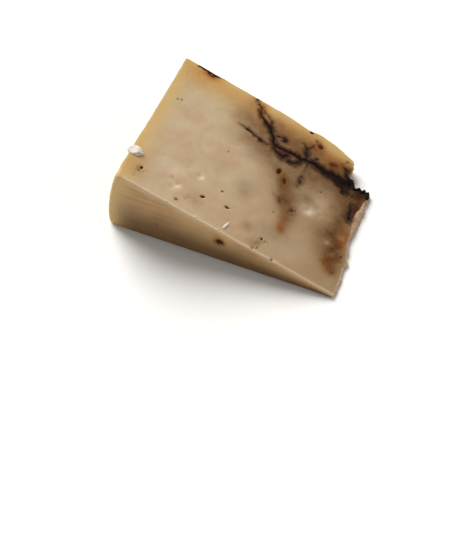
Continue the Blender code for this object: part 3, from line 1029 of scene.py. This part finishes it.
def shape_surface(surface):
    """Press the relief into every face, and return the places with the fields that colour them."""
    x, y, z = surface.places.T
    flat = np.stack((x, y, np.zeros_like(x)), axis=1)
    crack, ink, halo = vein_fields(x, y, flat)
    eaten, crag_halo, toothed = crag_fields(x, y)
    pit_depth, pit_dark = top_pits(x, y, flat)
    hole_depth, hole_dark = pits_at(x, z, PLAIN_CUT_HOLES, HOLE_FADES)
    cut_depth = hole_depth + PLAIN_CUT_SINK + relief(surface.places, PLAIN_CUT_SWELLS)
    wrinkles = rind_wrinkles(surface)
    rind_depth = wrinkles + RIND_CRACK_SHARE * crack * surface.near_top - edge_bulge(x)

    places = surface.places.copy()
    places[:, 0] += wrinkles * surface.near_rim - break_relief(surface, eaten)
    places[:, 1] += cut_depth * surface.near_plain - rind_depth * surface.near_rind
    places[:, 1] -= crag_teeth(surface, eaten, toothed)
    places[:, 2] += base_relief(surface) - top_relief(surface, flat, crack + pit_depth, eaten)

    run = smoothstep(*MOULD_RUN, surface.below_top)
    pit_dark = pit_dark * smoothstep(*PIT_SKIN, surface.below_top)
    hole_dark = hole_dark * smoothstep(*HOLE_SKIN, surface.near_plain)
    rim_skin = smoothstep(*RIM_SKIN, surface.from_rim)
    rind_skin = smoothstep(*RIND_SKIN, surface.from_rind)
    burr_distance = np.hypot(surface.from_plain, surface.below_top)
    fields = {name: run * blobs(x, y, spots) for name, spots in STAINS.items()}
    fields["ink"] = np.maximum(ink * run, eaten)
    fields["halo"] = np.maximum(halo * run, crag_halo)
    fields["hole"] = np.maximum(pit_dark, hole_dark)
    # Share of the thickness, which the painted shade of the plain cut follows
    fields["height_share"] = surface.above_base / surface.thickness
    fields["rind_near"] = yellow_by_rind(surface)
    fields["rind"] = np.maximum(rim_skin, rind_skin)
    fields["plain_cut"] = smoothstep(*PLAIN_CUT_SKIN, surface.from_plain)
    fields["fracture"] = torn_by_break(surface)
    # Nearness to the tip, which darkens the paste with age and with painted shade
    fields["tip"] = smoothstep(*TIP_AGED_AND_SHADED, surface.from_break)
    # Pale edge line, partly burr and partly painted highlight
    fields["burr"] = bell(burr_distance, BURR_HIGHLIGHT_REACH)
    return places, fields


def to_frame(places):
    """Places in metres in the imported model's frame, kept within its box."""
    moved = (places + np.array((SHIFT_X, 0.0, 0.0))) * MM
    return np.clip(moved, np.array(CAD_LOW), np.array(CAD_HIGH))


def link(name, mesh):
    piece = bpy.data.objects.new(name, mesh)
    bpy.context.scene.collection.objects.link(piece)
    return piece


def make_wedge(material):
    """The wedge's skin: a box of fine cells, every vertex moved to its place on the cheese."""
    along_marks = stations(WHEEL_RADIUS, ALONG_CHANGE, ALONG_COARSE, ALONG_FINE)
    across_marks = stations(WHEEL_HEIGHT, ACROSS_CHANGE, ACROSS_COARSE, ACROSS_FINE)
    bm = box_of_cells((len(along_marks) - 1, len(across_marks) - 1, UP_LAYERS))
    mesh = bpy.data.meshes.new("cut_wedge")
    bm.to_mesh(mesh)
    bm.free()
    co = np.zeros(len(mesh.vertices) * 3)
    mesh.vertices.foreach_get("co", co)
    surface = WedgeSurface(co.reshape(-1, 3), along_marks, across_marks)
    places, fields = shape_surface(surface)
    mesh.vertices.foreach_set("co", to_frame(places).ravel())
    for name, values in fields.items():
        layer = mesh.attributes.new(name, "FLOAT", "POINT")
        layer.data.foreach_set("value", values.astype(np.float32))
    mesh.shade_smooth()
    mesh.materials.append(material)
    mesh.update()
    wedge = link("cut_wedge", mesh)
    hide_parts(NODE)
    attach(wedge, "root")


def top_height(x):
    """Height of the upper cut plane, in millimetres, at an X from the wedge's middle."""
    return (WEDGE_MIDDLE - x) * math.tan(WEDGE_ANGLE)


def lump(name, material, middle, size, turn, tilt, rough, seed):
    """A crumb of curd: an uneven flattened ball, tilted down towards the tip."""
    bm = bmesh.new()
    bmesh.ops.create_icosphere(bm, subdivisions=4, radius=0.5)
    offset = Vector((seed, seed * 2.0, seed * 3.0))
    for vert in bm.verts:
        swell = noise.noise(vert.co * CRUMB_SWELLS + offset)
        swell += CRUMB_FINE_SHARE * noise.noise(vert.co * CRUMB_FINE_SWELLS + offset)
        vert.co *= 1.0 + rough * swell
    slope = Matrix.Rotation(tilt, 4, "Y")
    place = Matrix.Translation(Vector(middle) + Vector((SHIFT_X, 0.0, 0.0)))
    stretch = Matrix.Diagonal((*size, 1.0))
    shape = Matrix.Scale(MM, 4) @ place @ slope @ Matrix.Rotation(turn, 4, "Z") @ stretch
    bmesh.ops.transform(bm, matrix=shape, verts=bm.verts)
    for vert in bm.verts:
        vert.co = Vector(np.clip(vert.co, CAD_LOW, CAD_HIGH).tolist())
    bmesh.ops.recalc_face_normals(bm, faces=bm.faces)
    mesh = bpy.data.meshes.new(name)
    bm.to_mesh(mesh)
    bm.free()
    mesh.shade_smooth()
    mesh.materials.append(material)
    crumb = link(name, mesh)
    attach(crumb, "root")


def make_crumbs(material):
    for name, x, y, sink, size, turn, tilt, rough, seed in CRUMBS:
        middle = (x, y, top_height(x) - sink)
        lump(name, material, middle, size, math.radians(turn), math.radians(tilt), rough, seed)


class Graph:
    """Short calls that place and link the nodes of one node tree."""

    def __init__(self, tree):
        self.tree = tree

    def add(self, kind, **settings):
        node = self.tree.nodes.new(kind)
        for name, value in settings.items():
            setattr(node, name, value)
        return node

    def feed(self, socket, value):
        if isinstance(value, bpy.types.NodeSocket):
            self.tree.links.new(value, socket)
        elif isinstance(value, tuple) and socket.type == "RGBA":
            socket.default_value = (*value, 1.0)
        else:
            socket.default_value = value

    def feed_named(self, node, values):
        for name, value in values.items():
            self.feed(node.inputs[name], value)
        return node

    def maths(self, operation, first, second=0.0):
        node = self.add("ShaderNodeMath", operation=operation)
        self.feed(node.inputs[0], first)
        self.feed(node.inputs[1], second)
        return node.outputs[0]

    def times(self, first, second):
        return self.maths("MULTIPLY", first, second)

    def plus(self, first, second):
        return self.maths("ADD", first, second)

    def mix(self, share, first, second, kind="MIX"):
        node = self.add("ShaderNodeMix", data_type="RGBA", blend_type=kind)
        self.feed(node.inputs["Factor"], share)
        self.feed(node.inputs[MIX_FIRST_COLOUR], first)
        self.feed(node.inputs[MIX_SECOND_COLOUR], second)
        return node.outputs[MIX_COLOUR_OUT]

    def between(self, share, first, second):
        node = self.add("ShaderNodeMix", data_type="FLOAT")
        return self.feed_named(node, {"Factor": share, "A": first, "B": second}).outputs["Result"]

    def ease(self, value, low, high, start=0.0, end=1.0):
        node = self.add("ShaderNodeMapRange", interpolation_type="SMOOTHSTEP")
        values = {"Value": value, "From Min": low, "From Max": high, "To Min": start, "To Max": end}
        return self.feed_named(node, values).outputs["Result"]

    def noise(self, vector, scale, detail=3.0, roughness=0.5, distortion=0.0):
        node = self.add("ShaderNodeTexNoise")
        values = {"Vector": vector, "Scale": scale, "Detail": detail}
        values.update({"Roughness": roughness, "Distortion": distortion})
        return self.feed_named(node, values).outputs[0]

    def bump(self, height, strength, depth):
        node = self.add("ShaderNodeBump")
        values = {"Height": height, "Strength": strength, "Distance": depth}
        return self.feed_named(node, values).outputs["Normal"]

    def field(self, name):
        return self.add("ShaderNodeAttribute", attribute_name=name).outputs["Fac"]

    def cover(self, name):
        return self.times(self.field(name), COVERS[name])

    def group(self, tree, **values):
        return self.feed_named(self.add("ShaderNodeGroup", node_tree=tree), values)


def new_group(name, inputs, outputs):
    """A shader node group with named sockets, and the nodes that carry its inputs and outputs."""
    tree = bpy.data.node_groups.new(name, "ShaderNodeTree")
    for socket_name, kind in inputs:
        tree.interface.new_socket(socket_name, in_out="INPUT", socket_type=kind)
    for socket_name, kind in outputs:
        tree.interface.new_socket(socket_name, in_out="OUTPUT", socket_type=kind)
    g = Graph(tree)
    return g, g.add("NodeGroupInput").outputs, g.add("NodeGroupOutput").inputs


def mottle_group():
    """Two colours in soft uneven patches of a given size."""
    inputs = (("Vector", VECTOR), ("Scale", FLOAT), ("First", COLOUR), ("Second", COLOUR))
    g, given, out = new_group("paste_mottle", inputs, (("Color", COLOUR), ("Mask", FLOAT)))
    patches = g.noise(given["Vector"], given["Scale"], detail=4.0, roughness=0.55, distortion=0.4)
    mask = g.ease(patches, low=0.32, high=0.68)
    g.feed(out["Color"], g.mix(mask, given["First"], given["Second"]))
    g.feed(out["Mask"], mask)
    return g.tree


def ragged_group():
    """The mask of a field past a level, its edge frayed by noise of a given size."""
    inputs = (("Vector", VECTOR), ("Field", FLOAT), ("Low", FLOAT), ("High", FLOAT))
    inputs += (("Scale", FLOAT), ("Fray", FLOAT))
    g, given, out = new_group("ragged_mask", inputs, (("Mask", FLOAT),))
    fibres = g.noise(given["Vector"], given["Scale"], detail=4.0, roughness=0.65, distortion=0.6)
    shake = g.times(g.maths("SUBTRACT", fibres, 0.5), given["Fray"])
    frayed = g.plus(given["Field"], shake)
    near = g.ease(given["Field"], low=0.01, high=0.12)
    mask = g.ease(frayed, given["Low"], given["High"])
    g.feed(out["Mask"], g.times(mask, near))
    return g.tree


def grain_group():
    """Height of the curd's grain, with pores sunk in it that lie a little further apart."""
    inputs = (("Vector", VECTOR), ("Scale", FLOAT), ("Pores", FLOAT))
    g, given, out = new_group("curd_grain", inputs, (("Height", FLOAT),))
    curd = g.noise(given["Vector"], given["Scale"], detail=5.0, roughness=0.6)
    cells = g.add("ShaderNodeTexVoronoi", feature="F1")
    g.feed(cells.inputs["Vector"], given["Vector"])
    g.feed(cells.inputs["Scale"], g.times(given["Scale"], PORE_SPREAD))
    centres = g.ease(cells.outputs["Distance"], low=0.08, high=0.24, start=1.0, end=0.0)
    chosen = g.ease(g.noise(given["Vector"], given["Scale"], detail=1.0), low=0.54, high=0.62)
    sunk = g.times(g.times(centres, chosen), given["Pores"])
    g.feed(out["Height"], g.maths("SUBTRACT", curd, sunk))
    return g.tree


def new_material(name):
    """A material with its nodes cleared but for one Principled shader, and that shader."""
    material = bpy.data.materials.new(name)
    material.use_nodes = True
    tree = material.node_tree
    tree.nodes.clear()
    g = Graph(tree)
    shader = g.add("ShaderNodeBsdfPrincipled")
    surface = g.add("ShaderNodeOutputMaterial")
    tree.links.new(shader.outputs["BSDF"], surface.inputs["Surface"])
    return material, g, shader


def make_translucent(shader, weight, depth):
    """Let light of warm hue spread through the curd, as far as the depth in metres."""
    shader.inputs["Subsurface Weight"].default_value = weight
    shader.inputs["Subsurface Radius"].default_value = WARM_SPREAD
    shader.inputs["Subsurface Scale"].default_value = depth


def streak_places(g, where):
    """Object coordinates drawn out along the knife's way, for thin streaks in the plain cut."""
    stretch = g.add("ShaderNodeMapping", vector_type="POINT")
    g.feed(stretch.inputs["Vector"], where)
    stretch.inputs["Rotation"].default_value = (0.0, -KNIFE_TILT, 0.0)
    stretch.inputs["Scale"].default_value = STREAK_SCALE
    return stretch.outputs["Vector"]


def spot_distance(g, where, centre, reach):
    """How far each place lies from a spot's centre in millimetres, as a share of its reach."""
    place = g.add("ShaderNodeMapping", vector_type="POINT")
    scale = [1.0 / (size * MM) for size in reach]
    g.feed(place.inputs["Vector"], where)
    place.inputs["Scale"].default_value = scale
    place.inputs["Location"].default_value = [-c * MM * s for c, s in zip(centre, scale)]
    length = g.add("ShaderNodeVectorMath", operation="LENGTH")
    g.feed(length.inputs[0], place.outputs["Vector"])
    return length.outputs["Value"]


def soak(g, share, colour, tint):
    """A colour under a stain that has soaked in, with the tint laid on twice."""
    once = g.mix(share, colour, tint, kind="MULTIPLY")
    return g.mix(share, once, tint, kind="MULTIPLY")


def plain_cut_colour(g, where, mottle):
    """Colour of the plain cut: browner than the paste, partly painted shade, and darker towards the
    base with painted shade, with streaks drawn by the knife.
    """
    # The fall to the lower colour towards the base is painted shade
    cut = g.mix(g.ease(g.field("height_share"), low=0.15, high=0.95), PLAIN_CUT_PAINTED_SHADE, PLAIN_CUT_HIGH)
    drawn = streak_places(g, where)
    streaks = g.group(mottle, Vector=drawn, Scale=1.0, First=WHITE, Second=STREAK_TINT)
    streaked = g.ease(g.noise(where, STREAK_PATCHES), low=0.4, high=0.65)
    return g.mix(streaked, cut, streaks.outputs["Color"], kind="MULTIPLY")


def clean_paste(g, where, mottle):
    """Colour of the paste under the mould: pale, darker by the tip, where it is partly older paste and
    partly painted shade, and yellow by the rind.
    """
    broad = g.group(mottle, Vector=where, Scale=PASTE_PATCHES, First=PASTE_PALE, Second=PASTE_WARM)
    small = g.group(mottle, Vector=where, Scale=PASTE_FLECKS, First=WHITE, Second=PASTE_FLECK)
    paste = g.mix(FLECK_COVER, broad.outputs["Color"], small.outputs["Color"], kind="MULTIPLY")
    # Darker towards the tip: partly older paste, partly painted shade
    paste = g.mix(g.cover("tip"), paste, PASTE_AGED_AND_SHADED)
    paste = g.mix(g.cover("plain_cut"), paste, plain_cut_colour(g, where, mottle))
    yellow = g.ease(g.field("rind_near"), low=0.08, high=0.75, end=0.95)
    paste = g.mix(yellow, paste, PASTE_YELLOW)
    paste = g.mix(g.cover("ochre"), paste, PASTE_OCHRE)
    # Pale patches, partly torn paste and partly painted sheen
    return g.mix(g.cover("pale"), paste, PASTE_WHITE_AND_SHEEN)


def rind_colour(g, where, mottle):
    """Colour of the rim and the flat rind: tan, worn in patches, with small dark specks."""
    tan = g.group(mottle, Vector=where, Scale=RIND_PATCHES, First=RIND_TAN, Second=RIND_DARK)
    worn = g.group(mottle, Vector=where, Scale=RIND_WEAR, First=WHITE, Second=RIND_WORN)
    rind = g.mix(1.0, tan.outputs["Color"], worn.outputs["Color"], kind="MULTIPLY")
    specks = g.noise(where, RIND_SPECKS, roughness=0.6)
    return g.mix(g.ease(specks, low=0.58, high=0.72, end=0.50), rind, RIND_SPECK)


def mould_threads(g, where):
    """Fine threads of mould in the stain round the veins, as a mask."""
    wander = g.noise(where, THREADS, roughness=0.55, distortion=0.8)
    from_middle = g.maths("ABSOLUTE", g.maths("SUBTRACT", wander, 0.5))
    lines = g.ease(from_middle, low=0.006, high=0.035, start=1.0, end=0.0)
    zone = g.ease(g.field("halo"), low=0.22, high=0.7)
    return g.times(g.times(lines, zone), THREAD_COVER)


def frayed_spot(g, where):
    """Distance from the dark spot of the plain cut, frayed by noise."""
    spot_x, spot_y, spot_z = PLAIN_CUT_SPOT
    place = (spot_x + SHIFT_X, spot_y, spot_z)
    spot = spot_distance(g, where, place, PLAIN_CUT_SPOT_REACH)
    return g.plus(spot, g.ease(g.noise(where, SPOT_FRAY), low=0.3, high=0.7, start=-0.3, end=0.3))


def curd_height(g, where, grain, ink, rind):
    """Height of the curd's grain, rougher at the break, in the mould and on the rind."""
    fine = g.group(grain, Vector=where, Scale=FINE_GRAIN, Pores=FINE_PORES)
    coarse = g.group(grain, Vector=where, Scale=COARSE_GRAIN, Pores=COARSE_PORES)
    crumbly = g.plus(g.times(g.field("fracture"), ROUGH_BREAK), ROUGH_PASTE)
    crumbly = g.plus(crumbly, g.times(ink, ROUGH_MOULD))
    crumbly = g.plus(crumbly, g.times(rind, ROUGH_RIND))
    curd = g.plus(g.times(fine.outputs["Height"], FINE_SHARE), coarse.outputs["Height"])
    return g.times(curd, crumbly)


def veined_paste(mottle, ragged, grain):
    """Paste, stains, break, rind and mould in one material, each laid on by its own field."""
    material, g, shader = new_material("veined_paste")
    where = g.add("ShaderNodeTexCoord").outputs["Object"]

    def mask(name, low, high, scale, fray):
        values = {"Vector": where, "Field": g.field(name), "Low": low, "High": high}
        return g.group(ragged, **values, Scale=scale, Fray=fray).outputs["Mask"]

    colour = clean_paste(g, where, mottle)
    colour = soak(g, mask(*RUST_MASK), colour, RUST_TINT)
    colour = soak(g, mask(*BROWN_MASK), colour, BROWN_TINT)
    smoke = g.noise(where, SMOKE_CLOUDS, detail=5.0, roughness=0.65, distortion=0.5)
    smoke = g.ease(smoke, low=0.30, high=0.65, start=0.72)
    colour = soak(g, g.times(g.field("shade"), smoke), colour, SHADE_TINT)
    torn = g.group(mottle, Vector=where, Scale=TORN_CRUMB, First=BREAK_TAN, Second=BREAK_PALE)
    colour = g.mix(g.times(mask(*TORN_MASK), TORN_COVER), colour, torn.outputs["Color"])
    # Pale edge line along the plain cut: partly burr, partly painted highlight
    colour = g.mix(g.cover("burr"), colour, BURR_PALE_AND_HIGHLIGHT)
    colour = soak(g, g.times(mask(*HALO_MASK), HALO_COVER), colour, HALO_TINT)
    colour = g.mix(mould_threads(g, where), colour, INK_BROWN)
    rind = g.ease(g.field("rind"), low=0.15, high=0.85)
    colour = g.mix(g.times(rind, RIND_COVER), colour, rind_colour(g, where, mottle))
    spot = frayed_spot(g, where)
    spot_ring = g.ease(spot, low=0.8, high=2.4, start=0.6, end=0.0)
    spot_core = g.ease(spot, low=0.5, high=1.2, start=1.0, end=0.0)
    colour = g.mix(spot_core, soak(g, spot_ring, colour, BROWN_TINT), HOLE_COLOUR)
    colour = g.mix(mask(*INK_EDGE_MASK), colour, INK_BROWN)
    ink = mask(*INK_MASK)
    colour = g.mix(ink, colour, g.mix(g.noise(where, INK_PATCHES), INK_BLACK, INK_BROWN))
    hole = mask(*HOLE_MASK)
    g.feed(shader.inputs["Base Color"], g.mix(hole, colour, HOLE_COLOUR))

    rough = g.ease(g.noise(where, SHEEN_PATCHES), low=0.3, high=0.7, start=0.40, end=0.54)
    rough = g.between(rind, rough, RIND_ROUGHNESS)
    g.feed(shader.inputs["Roughness"], g.between(ink, rough, MOULD_ROUGHNESS))
    dry = g.maths("MAXIMUM", g.maths("MAXIMUM", ink, g.maths("MAXIMUM", hole, spot_core)), rind)
    g.feed(shader.inputs["Coat Weight"], g.ease(dry, low=0.0, high=1.0, start=PASTE_COAT, end=0.0))
    shader.inputs["Coat Roughness"].default_value = COAT_ROUGHNESS
    shader.inputs["Specular IOR Level"].default_value = PASTE_SPECULAR
    height = curd_height(g, where, grain, ink, rind)
    g.feed(shader.inputs["Normal"], g.bump(height, PASTE_BUMP, PASTE_BUMP_DEPTH))
    make_translucent(shader, PASTE_TRANSLUCENCE, PASTE_LIGHT_DEPTH)
    return material


def curd_crumb(mottle, grain):
    """White crumbs of curd, which let more light through than the paste."""
    material, g, shader = new_material("curd_crumb")
    where = g.add("ShaderNodeTexCoord").outputs["Object"]
    broad = g.group(mottle, Vector=where, Scale=CRUMB_PATCHES, First=CRUMB_WHITE, Second=CRUMB_GREY)
    g.feed(shader.inputs["Base Color"], broad.outputs["Color"])
    rough = g.ease(broad.outputs["Mask"], low=0.0, high=1.0, start=0.45, end=0.6)
    g.feed(shader.inputs["Roughness"], rough)
    fine = g.group(grain, Vector=where, Scale=CRUMB_GRAIN, Pores=CRUMB_PORES)
    height = fine.outputs["Height"]
    g.feed(shader.inputs["Normal"], g.bump(height, CRUMB_BUMP, CRUMB_BUMP_DEPTH))
    make_translucent(shader, CRUMB_TRANSLUCENCE, CRUMB_LIGHT_DEPTH)
    return material


def make_floor():
    bm = bmesh.new()
    bmesh.ops.create_grid(bm, x_segments=2, y_segments=2, size=FLOOR_HALF_SIZE)
    bmesh.ops.translate(bm, vec=(0.0, 0.0, -FLOOR_GAP), verts=bm.verts)
    mesh = bpy.data.meshes.new("studio_floor")
    bm.to_mesh(mesh)
    bm.free()
    material, g, shader = new_material("studio_floor")
    where = g.add("ShaderNodeTexCoord").outputs["Object"]
    clouds = g.noise(where, FLOOR_CLOUDS)
    g.feed(shader.inputs["Base Color"], g.mix(clouds, FLOOR_PALE, FLOOR_PALER))
    shader.inputs["Roughness"].default_value = FLOOR_ROUGHNESS
    mesh.materials.append(material)
    link("studio_floor", mesh)


def wide_light(name, place, width, strength, colour):
    """A light from far off that looks some degrees wide, so that it lights the floor evenly."""
    lamp = bpy.data.lights.new(name, "SUN")
    lamp.angle = math.radians(width)
    lamp.energy = strength
    lamp.color = colour
    light = bpy.data.objects.new(name, lamp)
    light.location = place
    light.rotation_euler = (Vector(LIT_POINT) - light.location).to_track_quat("-Z", "Y").to_euler()
    bpy.context.scene.collection.objects.link(light)


def make_lights():
    for row in LIGHTS:
        wide_light(*row)
    world = bpy.data.worlds.new("studio_world")
    world.use_nodes = True
    world.node_tree.nodes.clear()
    g = Graph(world.node_tree)
    fill = g.add("ShaderNodeBackground")
    g.feed(fill.inputs["Color"], WORLD_COLOUR)
    seen = g.add("ShaderNodeLightPath").outputs["Is Camera Ray"]
    g.feed(fill.inputs["Strength"], g.between(seen, WORLD_STRENGTH, BACKDROP_STRENGTH))
    surface = g.add("ShaderNodeOutputWorld")
    world.node_tree.links.new(fill.outputs["Background"], surface.inputs["Surface"])
    bpy.context.scene.world = world
    bpy.context.scene.view_settings.view_transform = "Standard"


def make_camera():
    """Camera at the photo's angle: to the right of the plain cut, well above, rolled a little."""
    lens = bpy.data.cameras.new("studio_camera")
    lens.sensor_width = SENSOR_WIDTH
    lens.lens = FOCAL_PIXELS / FRAME_HEIGHT * SENSOR_WIDTH
    lens.clip_start = 0.01
    lens.clip_end = 20.0
    azimuth = CAMERA_AZIMUTH
    back = Vector((math.sin(azimuth), -math.cos(azimuth), math.tan(CAMERA_ELEVATION))).normalized()
    right = Vector((math.cos(azimuth), math.sin(azimuth), 0.0))
    right = Matrix.Rotation(CAMERA_ROLL, 3, back) @ right
    camera = bpy.data.objects.new("studio_camera", lens)
    place = Vector(CAMERA_TARGET) + back * CAMERA_DISTANCE
    columns = Matrix((right, back.cross(right), back)).transposed().to_4x4()
    camera.matrix_world = Matrix.Translation(place) @ columns
    bpy.context.scene.collection.objects.link(camera)
    bpy.context.scene.camera = camera


mottle = mottle_group()
ragged = ragged_group()
grain = grain_group()
make_camera()
make_floor()
make_lights()
make_wedge(veined_paste(mottle, ragged, grain))
make_crumbs(curd_crumb(mottle, grain))
